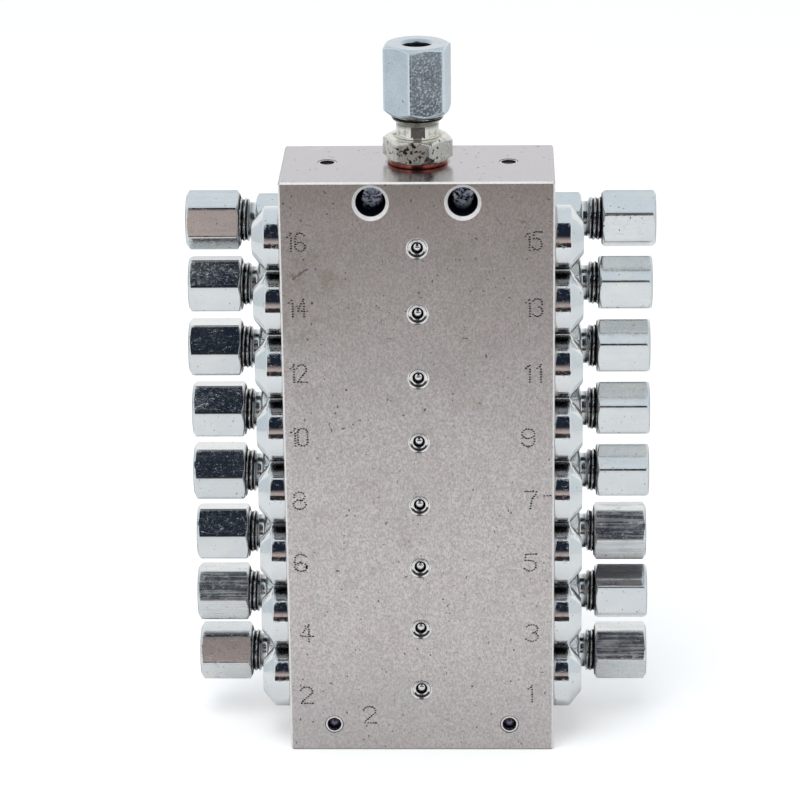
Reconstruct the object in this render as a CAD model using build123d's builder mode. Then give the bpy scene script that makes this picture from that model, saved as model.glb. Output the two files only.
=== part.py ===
from build123d import *
import math
import os

# Progressive lubricant divider block: one steel block, eight sliding spools in cross bores,
# sixteen outlet fittings at the sides and one inlet fitting on top.
# X runs across the block, the numbered front face looks towards -Y, Z is up and the
# origin is the middle of the bottom face. All sizes are in millimetres.

# Block
BLOCK_WIDTH = 60.0
BLOCK_DEPTH = 30.0
EDGE_BREAK = 0.4
PISTON_COUNT = 8
PITCH = 15.0
END_MARGIN = 15.0
MOUNT_HOLE_R = 3.3
MOUNT_SINK = 0.75
MOUNT_TOP_WALL = 1.3
MOUNT_SPACING = 20.0
SINK_ANGLE = 90.0

# Spool bores and spools
PISTON_FROM_FRONT = 8.5
PISTON_R = 3.0
PISTON_CLEARANCE = 0.02
PISTON_STROKE = 7.0
STOP_GAP = 0.1
GROOVE_R = 2.0
GROOVE_LENGTH = 5.5
MIDDLE_LAND = 8.0
SPOOL_END_BREAK = 0.3

# Closing plugs of the spool bores; PLUG_GAP is left between the heads of two neighbours
PLUG_GAP = 0.8
PLUG_RIM = 3.6
PLUG_CONE = 2.8
PLUG_END_R = 3.7
PLUG_SHANK_R = 4.9
PLUG_SHANK_LENGTH = 8.0
PLUG_SOCKET_FLATS = 4.0
PLUG_SOCKET_DEPTH = 3.0
THREAD_CLEARANCE = 0.1

# Outlet ports and the drillings inside the block; ROW_GAP is left between the plug heads
# and the corners of the outlet hexagons behind them
ROW_GAP = 0.665
PORT_BOTTOM_GAP = 0.5
INLET_PORT_BOTTOM_GAP = 2.5
OUTLET_DRILL_R = 1.0
OUTLET_DRILL_LEAN = 35.0
OUTLET_DRILL_OFFSET = 4.3
GALLERY_FROM_FRONT = 16.5
GALLERY_R = 2.0
SIGNAL_X = 20.0
SIGNAL_R = 1.25
SIGNAL_CROSS_Z = 6.4

# Pressed balls that close the drillings: how deep they sit and how wide the holes are broken
BALL_R = 1.5
BALL_SHOULDER_GAP = 0.1
FRONT_BALL_RECESS = 0.9
FRONT_BALL_SINK = 1.0
LOWER_BALL_RECESS = 0.7
TOP_BALL_RECESS = 0.9
SIGNAL_BALL_SINK = 0.65

# Compression fittings, common to the inlet and the outlets
TUBE_R = 3.0
TUBE_CLEARANCE = 0.1
FLOW_R = 2.0
CONE_HALF_ANGLE = 12.0
CONE_MOUTH_WIDENING = 1.1
HEX_FACE_INSET = 0.3
HEX_CHAMFER_ANGLE = 30.0
NUT_WALL = 0.875
RING_LENGTH = 5.2
RING_WALL = 0.85
RING_TIP_WALL = 0.25
RING_TIP_LENGTH = 3.0
RING_SHOULDER = 0.55

# Outlet fittings; the cover is how far the tightest nut reaches over the thread
OUTLET_STUD_R = 4.9
OUTLET_STUD_LENGTH = 7.5
OUTLET_HEX_FLATS = 10.8
OUTLET_HEX_LENGTH = 6.5
OUTLET_NECK_R = 3.9
OUTLET_NECK_LENGTH = 1.9
OUTLET_THREAD_R = 4.9
OUTLET_THREAD_START = 0.7
OUTLET_THREAD_LENGTH = 7.6
OUTLET_SOCKET_DEPTH = 6.7
OUTLET_NUT_LENGTH = 12.0
OUTLET_NUT_COVER = 6.6
OUTLET_NUT_SPARE = 0.4

# Turn of each outlet nut in degrees and how far it stands off the tightest one, from the
# bottom level to the top one, as the nuts happen to sit after tightening
EVEN_NUT_TURNS = (4, 58, 50, 56, 50, 57, 50, 20)
ODD_NUT_TURNS = (57, 31, 58, 42, 37, 38, 43, 32)
EVEN_NUT_STAND_OFF = (0.4, 0.6, 0.3, 0.6, 0.4, 0.8, 0.4, 0.5)
ODD_NUT_STAND_OFF = (0.4, 0.4, 0.0, 0.5, 0.5, 0.4, 0.7, 1.3)
EVEN_HEX_TURNS = (27, 34, 22, 31, 38, 25, 35, 30)
ODD_HEX_TURNS = (33, 24, 36, 29, 21, 37, 26, 30)

# Inlet fitting
WASHER_CLEARANCE = 0.2
WASHER_WIDTH = 1.6
WASHER_THICKNESS = 1.0
INLET_STUD_R = 4.8
INLET_STUD_LENGTH = 7.5
INLET_HEX_FLATS = 13.75
INLET_HEX_LENGTH = 5.1
INLET_HEX_TURN = 50.6
INLET_NECK_R = 4.7
INLET_NECK_LENGTH = 4.0
INLET_THREAD_R = 5.9
INLET_THREAD_START = 1.2
INLET_THREAD_LENGTH = 9.5
INLET_SOCKET_DEPTH = 7.4
INLET_NUT_LENGTH = 15.6
INLET_NUT_COVER = 8.4
INLET_NUT_SPARE = 0.6
INLET_NUT_TURN = 19.7

# Block sizes and places that follow from the ones above
BLOCK_HEIGHT = 2 * END_MARGIN + PITCH * (PISTON_COUNT - 1)
LEVELS = [END_MARGIN + PITCH * step for step in range(PISTON_COUNT)]
SIDE_X = BLOCK_WIDTH / 2
FRONT_Y = -BLOCK_DEPTH / 2
BACK_Y = BLOCK_DEPTH / 2
PLUG_HEAD_R = (PITCH - PLUG_GAP) / 2
PISTON_Y = FRONT_Y + PISTON_FROM_FRONT
OUTLET_Y = PISTON_Y + PLUG_HEAD_R + ROW_GAP + OUTLET_HEX_FLATS / math.sqrt(3)
GALLERY_Y = FRONT_Y + GALLERY_FROM_FRONT
MOUNT_Z = BLOCK_HEIGHT - MOUNT_TOP_WALL - MOUNT_HOLE_R
BORE_R = PISTON_R + PISTON_CLEARANCE
PISTON_LENGTH = 2 * (SIDE_X - PLUG_SHANK_LENGTH - STOP_GAP) - PISTON_STROKE
PLUG_SEAT_R = PLUG_SHANK_R + THREAD_CLEARANCE
PORT_R = OUTLET_STUD_R + THREAD_CLEARANCE
PORT_DEPTH = OUTLET_STUD_LENGTH + PORT_BOTTOM_GAP
INLET_PORT_R = INLET_STUD_R + THREAD_CLEARANCE
INLET_PORT_DEPTH = INLET_STUD_LENGTH - WASHER_THICKNESS + INLET_PORT_BOTTOM_GAP
LOWER_BALL_SEAT = LOWER_BALL_RECESS + 2 * BALL_R + BALL_SHOULDER_GAP
TOP_BALL_SEAT = TOP_BALL_RECESS + 2 * BALL_R + BALL_SHOULDER_GAP

# Fitting sizes that follow from the ones above
SOCKET_R = TUBE_R + TUBE_CLEARANCE
RING_R = SOCKET_R + RING_WALL
OUTLET_BODY_LENGTH = OUTLET_HEX_LENGTH + OUTLET_NECK_LENGTH + OUTLET_THREAD_LENGTH
OUTLET_NUT_BORE_R = OUTLET_THREAD_R + THREAD_CLEARANCE
OUTLET_NUT_FLATS = 2 * (OUTLET_NUT_BORE_R + NUT_WALL)
OUTLET_NUT_START = OUTLET_BODY_LENGTH - OUTLET_NUT_COVER
OUTLET_NUT_DEPTH = OUTLET_NUT_COVER + OUTLET_NUT_SPARE
INLET_BODY_LENGTH = INLET_HEX_LENGTH + INLET_NECK_LENGTH + INLET_THREAD_LENGTH
INLET_NUT_BORE_R = INLET_THREAD_R + THREAD_CLEARANCE
INLET_NUT_FLATS = 2 * (INLET_NUT_BORE_R + NUT_WALL)
INLET_NUT_START = INLET_BODY_LENGTH - INLET_NUT_COVER
INLET_NUT_DEPTH = INLET_NUT_COVER + INLET_NUT_SPARE

os.makedirs("parts", exist_ok=True)


def save(piece, name):
    """Labels one finished piece and writes it to its own file."""
    piece.label = name
    export_step(piece, f"parts/{name}.step")


def side_plane(side, y, z):
    """Plane on a side face of the block, with its normal pointing away from the block."""
    return Plane(origin=(side * SIDE_X, y, z), x_dir=(0, 1, 0), z_dir=(side, 0, 0))


def front_plane(x, z):
    """Plane on the front face, with its normal towards -Y."""
    return Plane(origin=(x, FRONT_Y, z), x_dir=(1, 0, 0), z_dir=(0, -1, 0))


def back_plane(x, z):
    """Plane on the back face, with its normal towards +Y."""
    return Plane(origin=(x, BACK_Y, z), x_dir=(-1, 0, 0), z_dir=(0, 1, 0))


def top_plane(x, y):
    """Plane on the top face, with its normal upwards."""
    return Plane(origin=(x, y, BLOCK_HEIGHT))


def axial_plane(plane):
    """Plane through the normal of another one: local x runs along it, local y is the radius."""
    return Plane(origin=plane.origin, x_dir=plane.z_dir, z_dir=plane.x_dir)


def axis_of(plane):
    """Axis along the normal of a plane."""
    return Axis(plane.origin, plane.z_dir)


def hexagon_turn(plane, degrees):
    """Turn in the plane's own sense, so that a left and a right nut turn the same way round."""
    return degrees if plane.z_dir.X >= 0 else -degrees


# Valve block
with BuildPart() as valve_block:
    with BuildSketch():
        Rectangle(BLOCK_WIDTH, BLOCK_DEPTH)
    extrude(amount=BLOCK_HEIGHT)
    chamfer(valve_block.edges(), EDGE_BREAK)
    # Spool bores, one at each level, widened at both ends for the closing plugs
    with Locations(*[side_plane(side, PISTON_Y, z) for z in LEVELS for side in (-1, 1)]):
        CounterBoreHole(BORE_R, PLUG_SEAT_R, PLUG_SHANK_LENGTH, SIDE_X + BORE_R)
    # Outlet ports behind them, with a leaning drilling from each mouth to the spool bore
    with Locations(*[side_plane(side, OUTLET_Y, z) for z in LEVELS for side in (-1, 1)]):
        Hole(PORT_R, PORT_DEPTH)
    lean = math.radians(OUTLET_DRILL_LEAN)
    drill_y = OUTLET_Y + OUTLET_DRILL_OFFSET
    drill_planes = [
        Plane(
            origin=(side * SIDE_X, drill_y, z),
            z_dir=(side * math.cos(lean), math.sin(lean), 0),
        )
        for z in LEVELS
        for side in (-1, 1)
    ]
    with Locations(*drill_planes):
        Hole(OUTLET_DRILL_R, (drill_y - PISTON_Y) / math.sin(lean))
    # Feed gallery: inlet port on top, one drilling down and one from the front at each level
    with Locations(top_plane(0, GALLERY_Y)):
        CounterBoreHole(GALLERY_R, INLET_PORT_R, INLET_PORT_DEPTH, BLOCK_HEIGHT - LEVELS[0] + BORE_R)
    with Locations(*[front_plane(0, z) for z in LEVELS]):
        CounterSinkHole(BALL_R, BALL_R + FRONT_BALL_SINK, GALLERY_FROM_FRONT, SINK_ANGLE)
    # Two signal lines from the top to cross drillings under the lowest spool
    with Locations(*[top_plane(x, GALLERY_Y) for x in (-SIGNAL_X, SIGNAL_X)]):
        CounterSinkHole(BALL_R, BALL_R + SIGNAL_BALL_SINK, TOP_BALL_SEAT, SINK_ANGLE)
        Hole(SIGNAL_R, BLOCK_HEIGHT - SIGNAL_CROSS_Z)
    with Locations(*[front_plane(x, SIGNAL_CROSS_Z) for x in (-SIGNAL_X, SIGNAL_X)]):
        CounterSinkHole(BALL_R, BALL_R + SIGNAL_BALL_SINK, LOWER_BALL_SEAT, SINK_ANGLE)
        Hole(SIGNAL_R, GALLERY_FROM_FRONT)
    # Two mounting holes through the block, countersunk lightly on both faces
    for mount_x in (-MOUNT_SPACING / 2, MOUNT_SPACING / 2):
        with Locations(front_plane(mount_x, MOUNT_Z), back_plane(mount_x, MOUNT_Z)):
            CounterSinkHole(MOUNT_HOLE_R, MOUNT_HOLE_R + MOUNT_SINK, BLOCK_DEPTH, SINK_ANGLE)
save(valve_block.part, "valve_block")


# Spools: three lands and two grooves, resting by turns against the left and the right plug
for index, level in enumerate(LEVELS):
    rest_side = -1 if index % 2 == 0 else 1
    middle_x = rest_side * PISTON_STROKE / 2
    half = PISTON_LENGTH / 2
    groove_in = MIDDLE_LAND / 2
    groove_out = groove_in + GROOVE_LENGTH
    with BuildPart() as spool:
        with BuildSketch(Plane(origin=(middle_x, PISTON_Y, level), x_dir=(1, 0, 0), z_dir=(0, -1, 0))):
            with BuildLine():
                Polyline(
                    (-half, 0),
                    (-half, PISTON_R - SPOOL_END_BREAK),
                    (-half + SPOOL_END_BREAK, PISTON_R),
                    (-groove_out, PISTON_R),
                    (-groove_out, GROOVE_R),
                    (-groove_in, GROOVE_R),
                    (-groove_in, PISTON_R),
                    (groove_in, PISTON_R),
                    (groove_in, GROOVE_R),
                    (groove_out, GROOVE_R),
                    (groove_out, PISTON_R),
                    (half - SPOOL_END_BREAK, PISTON_R),
                    (half, PISTON_R - SPOOL_END_BREAK),
                    (half, 0),
                    close=True,
                )
            make_face()
        revolve(axis=Axis((0, PISTON_Y, level), (1, 0, 0)))
    save(spool.part, f"spool_{index + 1}")


def closing_plug(plane):
    """Screw plug: round head with a conical end, hexagon socket and a plain shank."""
    head = PLUG_RIM + PLUG_CONE
    with BuildPart() as plug:
        with BuildSketch(axial_plane(plane)):
            with BuildLine():
                Polyline(
                    (-PLUG_SHANK_LENGTH, 0),
                    (-PLUG_SHANK_LENGTH, PLUG_SHANK_R),
                    (0, PLUG_SHANK_R),
                    (0, PLUG_HEAD_R),
                    (PLUG_RIM, PLUG_HEAD_R),
                    (head, PLUG_END_R),
                    (head, 0),
                    close=True,
                )
            make_face()
        revolve(axis=axis_of(plane))
        with BuildSketch(plane.offset(head)):
            RegularPolygon(PLUG_SOCKET_FLATS / 2, 6, major_radius=False)
        extrude(amount=-PLUG_SOCKET_DEPTH, mode=Mode.SUBTRACT)
    return plug.part


# Closing plugs, one group for each side of the block
for side, name in ((-1, "closing_plugs_left"), (1, "closing_plugs_right")):
    save(Compound(children=[closing_plug(side_plane(side, PISTON_Y, z)) for z in LEVELS]), name)


def pressed_balls(centres):
    """Group of steel balls pressed into their drillings."""
    with BuildPart() as balls:
        with Locations(*centres):
            Sphere(BALL_R)
    return balls.part


# Balls that close the front drillings, the lower cross drillings and the signal lines
front_ball_y = FRONT_Y + FRONT_BALL_RECESS + BALL_R
lower_ball_y = FRONT_Y + LOWER_BALL_RECESS + BALL_R
top_ball_z = BLOCK_HEIGHT - TOP_BALL_RECESS - BALL_R
save(pressed_balls([(0, front_ball_y, z) for z in LEVELS]), "front_balls")
save(pressed_balls([(x, lower_ball_y, SIGNAL_CROSS_Z) for x in (-SIGNAL_X, SIGNAL_X)]), "lower_balls")
save(pressed_balls([(x, GALLERY_Y, top_ball_z) for x in (-SIGNAL_X, SIGNAL_X)]), "top_balls")


def fitting_body(plane, turn, stud_r, stud_length, flats, hex_length, neck_r, neck_length,
                 thread_r, thread_start, thread_length, socket_depth):
    """Straight fitting: stud, hexagon, neck and nut thread, with a tube socket and a cone mouth.

    The plane lies where the hexagon meets its seat; lengths are measured from there.
    """
    corner_r = flats / math.sqrt(3)
    face_r = flats / 2 - HEX_FACE_INSET
    chamfer_length = (corner_r - face_r) * math.tan(math.radians(HEX_CHAMFER_ANGLE))
    neck_end = hex_length + neck_length
    thread_top = neck_end + thread_start
    length = neck_end + thread_length
    stop = length - socket_depth
    cone_length = CONE_MOUTH_WIDENING / math.tan(math.radians(CONE_HALF_ANGLE))
    with BuildPart() as body:
        with BuildSketch(plane):
            RegularPolygon(corner_r, 6, rotation=hexagon_turn(plane, turn))
        extrude(amount=hex_length)
        with BuildSketch(axial_plane(plane)):
            with BuildLine():
                Polyline(
                    (0, 0),
                    (0, corner_r),
                    (hex_length - chamfer_length, corner_r),
                    (hex_length, face_r),
                    (hex_length, 0),
                    close=True,
                )
            make_face()
        revolve(axis=axis_of(plane), mode=Mode.INTERSECT)
        with BuildSketch(axial_plane(plane)):
            with BuildLine():
                Polyline(
                    (-stud_length, FLOW_R),
                    (-stud_length, stud_r),
                    (0, stud_r),
                    (hex_length, neck_r),
                    (neck_end, neck_r),
                    (thread_top, thread_r),
                    (length, thread_r),
                    (length, FLOW_R),
                    close=True,
                )
            make_face()
        revolve(axis=axis_of(plane))
        with BuildSketch(axial_plane(plane)):
            with BuildLine():
                Polyline(
                    (-stud_length, 0),
                    (-stud_length, FLOW_R),
                    (stop, FLOW_R),
                    (stop, SOCKET_R),
                    (length - cone_length, SOCKET_R),
                    (length, SOCKET_R + CONE_MOUTH_WIDENING),
                    (length, 0),
                    close=True,
                )
            make_face()
        revolve(axis=axis_of(plane), mode=Mode.SUBTRACT)
    return body.part


def union_nut(plane, turn, flats, length, bore_r, depth):
    """Union nut: hexagon chamfered at both ends, thread bore, inner cone and tube hole.

    The plane lies at the open thread end; the normal points to the tube hole.
    """
    corner_r = flats / math.sqrt(3)
    face_r = flats / 2 - HEX_FACE_INSET
    chamfer_length = (corner_r - face_r) * math.tan(math.radians(HEX_CHAMFER_ANGLE))
    with BuildPart() as nut:
        with BuildSketch(plane):
            RegularPolygon(corner_r, 6, rotation=hexagon_turn(plane, turn))
        extrude(amount=length)
        with BuildSketch(axial_plane(plane)):
            with BuildLine():
                Polyline(
                    (0, bore_r),
                    (0, face_r),
                    (chamfer_length, corner_r),
                    (length - chamfer_length, corner_r),
                    (length, face_r),
                    (length, SOCKET_R),
                    (depth + bore_r - SOCKET_R, SOCKET_R),
                    (depth, bore_r),
                    close=True,
                )
            make_face()
        revolve(axis=axis_of(plane), mode=Mode.INTERSECT)
    return nut.part


def cutting_ring(plane, nut_bore_r, nut_depth):
    """Cutting ring that bears on the inner cone of its nut; the plane is the nut's."""
    shoulder = nut_depth + nut_bore_r - RING_R
    tip = shoulder + RING_SHOULDER - RING_LENGTH
    with BuildPart() as ring:
        with BuildSketch(axial_plane(plane)):
            with BuildLine():
                Polyline(
                    (tip, SOCKET_R),
                    (tip, SOCKET_R + RING_TIP_WALL),
                    (tip + RING_TIP_LENGTH, RING_R),
                    (shoulder, RING_R),
                    (shoulder + RING_SHOULDER, RING_R - RING_SHOULDER),
                    (shoulder + RING_SHOULDER, SOCKET_R),
                    close=True,
                )
            make_face()
        revolve(axis=axis_of(plane))
    return ring.part


# Outlet fittings: even numbers on the left, odd numbers on the right, counted from the bottom
outlet_sides = (
    (-1, 2, EVEN_NUT_TURNS, EVEN_NUT_STAND_OFF, EVEN_HEX_TURNS, "cutting_rings_left"),
    (1, 1, ODD_NUT_TURNS, ODD_NUT_STAND_OFF, ODD_HEX_TURNS, "cutting_rings_right"),
)
for side, first_number, nut_turns, stand_offs, hex_turns, ring_name in outlet_sides:
    rings = []
    for index, level in enumerate(LEVELS):
        number = first_number + 2 * index
        row = index % len(nut_turns)
        seat = side_plane(side, OUTLET_Y, level)
        nut_plane = seat.offset(OUTLET_NUT_START + stand_offs[row])
        body = fitting_body(
            seat, hex_turns[row], OUTLET_STUD_R, OUTLET_STUD_LENGTH, OUTLET_HEX_FLATS,
            OUTLET_HEX_LENGTH, OUTLET_NECK_R, OUTLET_NECK_LENGTH, OUTLET_THREAD_R,
            OUTLET_THREAD_START, OUTLET_THREAD_LENGTH, OUTLET_SOCKET_DEPTH,
        )
        save(body, f"outlet_body_{number}")
        nut = union_nut(
            nut_plane, nut_turns[row], OUTLET_NUT_FLATS, OUTLET_NUT_LENGTH,
            OUTLET_NUT_BORE_R, OUTLET_NUT_DEPTH,
        )
        save(nut, f"outlet_nut_{number}")
        rings.append(cutting_ring(nut_plane, OUTLET_NUT_BORE_R, OUTLET_NUT_DEPTH))
    save(Compound(children=rings), ring_name)


# Inlet washer of copper
inlet_face = top_plane(0, GALLERY_Y)
with BuildPart() as inlet_washer:
    with BuildSketch(inlet_face):
        Circle(INLET_STUD_R + WASHER_CLEARANCE + WASHER_WIDTH)
        Circle(INLET_STUD_R + WASHER_CLEARANCE, mode=Mode.SUBTRACT)
    extrude(amount=WASHER_THICKNESS)
save(inlet_washer.part, "inlet_washer")

# Inlet fitting on the washer: body, union nut and cutting ring
inlet_seat = inlet_face.offset(WASHER_THICKNESS)
inlet_nut_plane = inlet_seat.offset(INLET_NUT_START)
inlet_body = fitting_body(
    inlet_seat, INLET_HEX_TURN, INLET_STUD_R, INLET_STUD_LENGTH, INLET_HEX_FLATS,
    INLET_HEX_LENGTH, INLET_NECK_R, INLET_NECK_LENGTH, INLET_THREAD_R,
    INLET_THREAD_START, INLET_THREAD_LENGTH, INLET_SOCKET_DEPTH,
)
save(inlet_body, "inlet_body")
inlet_nut = union_nut(
    inlet_nut_plane, INLET_NUT_TURN, INLET_NUT_FLATS, INLET_NUT_LENGTH,
    INLET_NUT_BORE_R, INLET_NUT_DEPTH,
)
save(inlet_nut, "inlet_nut")
save(cutting_ring(inlet_nut_plane, INLET_NUT_BORE_R, INLET_NUT_DEPTH), "inlet_cutting_ring")
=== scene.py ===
# %% [markdown]
# # A lubricant divider block, from the drawing to the picture
#
# The object is an upright steel block. Grease comes in through the fitting on top, eight spools
# inside the block share it out, and it leaves through sixteen tube fittings, eight at each side.
# A row of plugs closes the spool bores in front of the fittings, and small steel balls close the
# drillings. The exact solids come from a drawing program and are loaded here as a fixed frame.
# Blender's work is what a drawing lacks: softened edges, threads, punched numbers and metal.

# %% Load the frame
import math

import bmesh
import bpy
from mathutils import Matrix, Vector


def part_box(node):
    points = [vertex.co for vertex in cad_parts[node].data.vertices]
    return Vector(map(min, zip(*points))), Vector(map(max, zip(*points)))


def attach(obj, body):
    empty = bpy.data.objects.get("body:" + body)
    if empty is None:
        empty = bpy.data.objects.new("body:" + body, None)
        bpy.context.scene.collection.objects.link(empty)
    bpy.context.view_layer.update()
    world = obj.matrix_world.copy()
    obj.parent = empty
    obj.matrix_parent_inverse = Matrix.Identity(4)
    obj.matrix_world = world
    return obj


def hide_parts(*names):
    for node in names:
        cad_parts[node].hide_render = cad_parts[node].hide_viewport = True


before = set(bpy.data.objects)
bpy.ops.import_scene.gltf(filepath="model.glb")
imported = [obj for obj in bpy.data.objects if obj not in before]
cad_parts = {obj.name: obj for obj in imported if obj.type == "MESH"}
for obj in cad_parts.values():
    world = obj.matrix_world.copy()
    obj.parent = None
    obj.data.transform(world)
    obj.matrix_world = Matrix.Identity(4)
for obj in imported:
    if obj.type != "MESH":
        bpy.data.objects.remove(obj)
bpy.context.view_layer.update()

# %% [markdown]
# ## Sizes
#
# Blender works in metres here, the drawing in millimetres, so sizes are written in millimetres
# and multiplied by MM once. The levels are the heights of the eight spools. Everything at the
# sides repeats from one level to the next, and that is why most pieces below are made by rules.

# %% Sizes that several pieces share
MM = 0.001
STEP_UP = 15.0
LEVELS = [STEP_UP * (index + 1) for index in range(8)]
SIDE_X = 30.0
FRONT_Y = -15.0
BLOCK_TOP = 135.0
PLUG_Y = -6.5
OUTLET_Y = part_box("outlet_nut_1")[0].y / MM / 2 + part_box("outlet_nut_1")[1].y / MM / 2
INLET_Y = 1.5
BALL_R = 1.5
BALL_X = 20.0
LOW_BALL_Z = 6.4
MOUNT_X, MOUNT_Z = 10.0, 130.4
TUBE_HOLE_R = 3.1
THREAD_PITCH = 1.0
MERGE_GAP = 0.002
SIDES = {"left": -1, "right": 1}
print("outlet row at y", round(OUTLET_Y, 3), "mm, levels", LEVELS)

# %% [markdown]
# ## The camera
#
# The camera stands about 70 centimetres in front of the block and looks down on it a little,
# as the photographer did. A long lens keeps the verticals almost parallel.

# %% Camera
def new_object(name, data):
    """An object around its data, linked into the scene."""
    made = bpy.data.objects.new(name, data)
    bpy.context.collection.objects.link(made)
    return made


lens = bpy.data.cameras.new("camera")
lens.sensor_width = 36.0
lens.lens = 154.694
camera = new_object("camera", lens)
camera.location = (0.01702, -0.72864, 0.34184)
camera.rotation_euler = [math.radians(angle) for angle in (70.2216, 0.6685, 1.4537)]
bpy.context.scene.camera = camera
print("camera at", [round(value, 3) for value in camera.location], "lens", lens.lens, "mm")

# %% [markdown]
# ## Arithmetic with sockets
#
# A material or a Geometry Nodes tree is a lot of small sums. Adding each Math node by hand hides
# the idea, so this class wraps one output socket and lets Python's own operators add the nodes:
# `1 - mask * 0.5` becomes two linked nodes. Any node that isn't a sum comes from `add`.

# %% One class for sums of sockets
def fill(socket, value):
    """Links a wire to a socket, or sets the socket to a plain value."""
    if isinstance(value, Wire):
        value.tree.links.new(value.socket, socket)
    else:
        socket.default_value = value


class Wire:
    """An output socket of a node tree that can be used in arithmetic."""

    def __init__(self, socket):
        self.socket = socket
        self.tree = socket.id_data

    def add(self, kind, inputs=None, settings=None, output=0):
        """A node of any kind in the same tree; its settings are made before its sockets."""
        made = self.tree.nodes.new(kind)
        for name, value in (settings or {}).items():
            setattr(made, name, value)
        for name, value in (inputs or {}).items():
            fill(made.inputs[name], value)
        return Wire(made.outputs[output])

    def through(self, kind, inputs=None, settings=None):
        """A node that takes this wire in its first socket."""
        return self.add(kind, {0: self, **(inputs or {})}, settings)

    def math(self, operation, *values):
        return self.add("ShaderNodeMath", dict(enumerate(values)), {"operation": operation})

    def of(self, operation, *others):
        """A function of this number, such as `angle.of("SINE")` or `a.of("MAXIMUM", b)`."""
        return self.math(operation, self, *others)

    def vector(self, x, y, z):
        return self.add("ShaderNodeCombineXYZ", {0: x, 1: y, 2: z})

    def parts(self):
        """The three numbers of a vector."""
        return [Wire(part) for part in self.through("ShaderNodeSeparateXYZ").socket.node.outputs]

    def __add__(self, other):
        return self.math("ADD", self, other)

    def __radd__(self, other):
        return self.math("ADD", other, self)

    def __sub__(self, other):
        return self.math("SUBTRACT", self, other)

    def __rsub__(self, other):
        return self.math("SUBTRACT", other, self)

    def __mul__(self, other):
        return self.math("MULTIPLY", self, other)

    def __rmul__(self, other):
        return self.math("MULTIPLY", other, self)

    def __truediv__(self, other):
        return self.math("DIVIDE", self, other)

    def __rtruediv__(self, other):
        return self.math("DIVIDE", other, self)

    def __gt__(self, other):
        return self.math("GREATER_THAN", self, other)

    def __lt__(self, other):
        return self.math("LESS_THAN", self, other)


def between(value, low, high):
    """0 below low, 1 above high and a smooth slope in between."""
    return value.through("ShaderNodeMapRange", {"From Min": low, "From Max": high},
                         {"interpolation_type": "SMOOTHSTEP"})


def tint(mask, under, over):
    """One colour over another, by a mask."""
    under, over = (colour if isinstance(colour, Wire) else (*colour, 1.0) for colour in (under, over))
    return mask.add("ShaderNodeMix", {0: mask, 6: under, 7: over}, {"data_type": "RGBA"}, 2)


print("sockets can be added, subtracted, multiplied, divided, compared and blended")

# %% [markdown]
# ## Helpers for Geometry Nodes
#
# A Geometry Nodes tree is a recipe with named inputs. `new_recipe` opens one, and `make` runs it:
# it sets each input by its identifier, evaluates the modifier once and keeps the plain result.
# The finished object has no modifier left, and its mesh already lies where the piece belongs.

# %% Open a recipe and run it
SHARP_FROM = 35.0


def new_recipe(name, inputs):
    """An empty Geometry Nodes tree with named inputs; returns its input wires and its last socket."""
    tree = bpy.data.node_groups.new(name, "GeometryNodeTree")
    tree.interface.new_socket("Geometry", in_out="INPUT", socket_type="NodeSocketGeometry")
    for label, kind in inputs:
        tree.interface.new_socket(label, in_out="INPUT", socket_type="NodeSocket" + kind)
    tree.interface.new_socket("Geometry", in_out="OUTPUT", socket_type="NodeSocketGeometry")
    start = tree.nodes.new("NodeGroupInput")
    end = tree.nodes.new("NodeGroupOutput")
    wires = {socket.name: Wire(socket) for socket in start.outputs if socket.name}
    return tree, wires, end.inputs[0]


def plain_mesh(worker):
    """The mesh that an object's modifier makes; the object itself is removed."""
    evaluated = worker.evaluated_get(bpy.context.evaluated_depsgraph_get())
    mesh = bpy.data.meshes.new_from_object(evaluated)
    bpy.data.objects.remove(worker)
    return mesh


def make(name, base_mesh, tree, values):
    """Runs a recipe on a base mesh and returns the plain result as a new object."""
    worker = new_object("worker", base_mesh)
    modifier = worker.modifiers.new("recipe", "NODES")
    modifier.node_group = tree
    for item in tree.interface.items_tree:
        if item.in_out == "INPUT" and item.name in values:
            modifier[item.identifier] = values[item.name]
    mesh = plain_mesh(worker)
    mesh.name = name
    mesh.shade_smooth()
    mesh.set_sharp_from_angle(angle=math.radians(SHARP_FROM))
    return new_object(name, mesh)


def store(geometry, label, value):
    """Keeps a number on every point, for the finishes to read."""
    return geometry.through("GeometryNodeStoreNamedAttribute", {"Name": label, "Value": value})


print("recipes ready")

# %% [markdown]
# ## A pale room with a dark slit
#
# Polished metal shows its surroundings more than itself. The object stood in a white tent, and
# the tent had a dark opening towards the camera with something rosy low in it. That opening
# is why the nuts show near-black bands beside white ones. The room here is the same: a white
# world that turns a little blue overhead, a pale floor, and cards that only reflections can see.

# %% World and floor
def open_tree(owner, end_kind="ShaderNodeOutputMaterial"):
    """A world or a material with its emptied node tree and its surface socket."""
    owner.use_nodes = True
    owner.node_tree.nodes.clear()
    return owner, owner.node_tree, owner.node_tree.nodes.new(end_kind).inputs["Surface"]


def source(tree, kind, name):
    """The named output of a node that needs no input."""
    return Wire(tree.nodes.new(kind).outputs[name])


def flat_sheet(name, corners, material):
    """A four-cornered sheet for the room; corners in millimetres."""
    mesh = bpy.data.meshes.new(name)
    mesh.from_pydata([Vector(corner) * MM for corner in corners], [], [(0, 1, 2, 3)])
    mesh.materials.append(material)
    sheet = new_object(name, mesh)
    return sheet


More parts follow.
